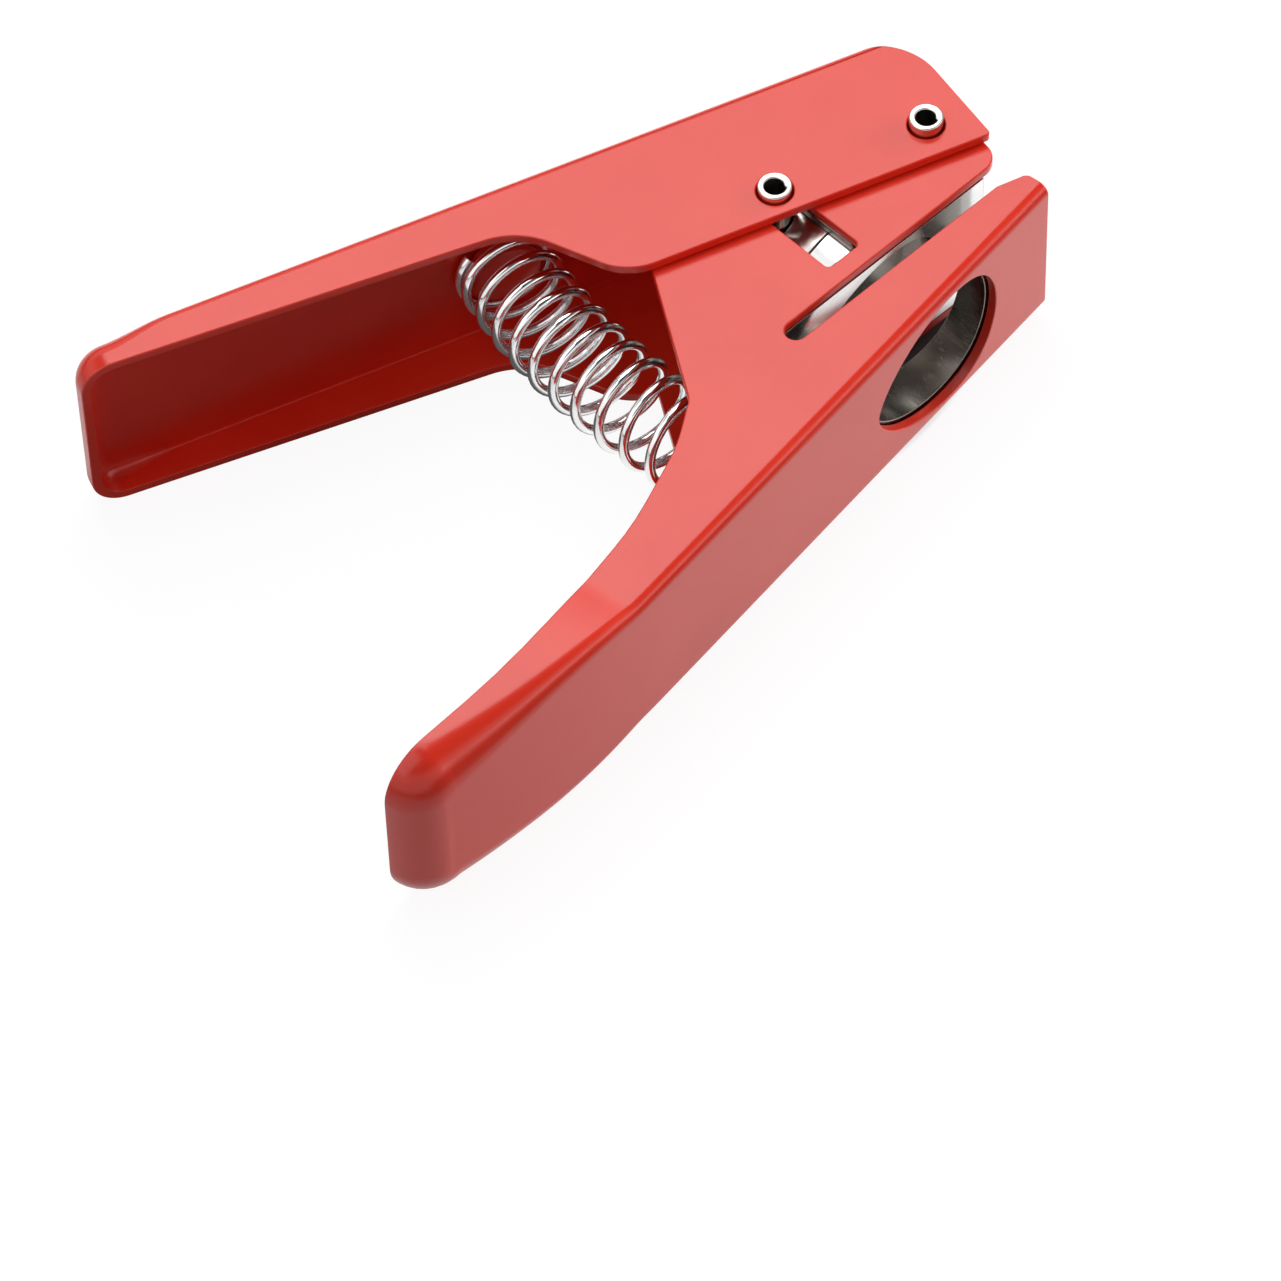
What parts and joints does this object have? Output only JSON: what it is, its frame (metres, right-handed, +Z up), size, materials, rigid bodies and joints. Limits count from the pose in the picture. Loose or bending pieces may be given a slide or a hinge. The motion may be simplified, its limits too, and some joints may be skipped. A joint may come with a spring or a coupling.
{
  "type": "plectrum punch",
  "caption": "Hand lever punch that cuts plectrums from plastic sheet: red folded steel frame and handle, steel die set in the jaw, coil return spring.",
  "frame": {"origin": "middle of the footprint of the tool lying on its far side, on the surface it lies on", "axes": "+X along the base to the nose with the throat's mouth, +Y from the base to the handle, +Z up, out of the near side plates"},
  "size_m": [0.1682, 0.105, 0.038],
  "materials": {
    "red_paint": "satin powder coat with a fine sparkle",
    "nickel": "bright nickel plate",
    "tool_steel": "ground tool steel",
    "spring_wire": "bright plated spring wire",
    "black_steel": "blackened"
  },
  "bodies": {
    "frame": {"frame": "red_paint", "pivot_pin": "nickel", "guide_block": "nickel", "stripper_plate": "tool_steel", "die_plate": "nickel", "throat_spacer": "tool_steel", "return_spring": "spring_wire", "lower_spring_seat": "red_paint", "die_screw_1": "black_steel", "die_screw_2": "black_steel", "stripper_screw_1": "black_steel", "stripper_screw_2": "black_steel", "die_dowel_1": "tool_steel", "die_dowel_2": "tool_steel"},
    "handle": {"handle": "red_paint", "drive_pin": "nickel", "upper_spring_seat": "red_paint"},
    "punch": {"punch": "tool_steel", "punch_carrier": "nickel", "punch_screw_1": "black_steel", "punch_screw_2": "black_steel"}
  },
  "joints": [
    {"name": "handle_swing", "type": "hinge", "parent": "frame", "child": "handle", "pos_m": [0.07304, -0.02916, 0.018], "axis": [0, 0, 1], "range_deg": [0, 25], "stiffness_Nm_per_rad": 4, "springref_deg": -5.73, "deforming": ["return_spring"]},
    {"name": "punch_slide", "type": "slide", "parent": "frame", "child": "punch", "axis": [-0.1323, -0.9912, 0], "range_m": [0, 0.0126]}
  ],
  "couplings": [
    {"joint": "punch_slide", "follows": "handle_swing", "m_per_rad": 0.028533}
  ]
}
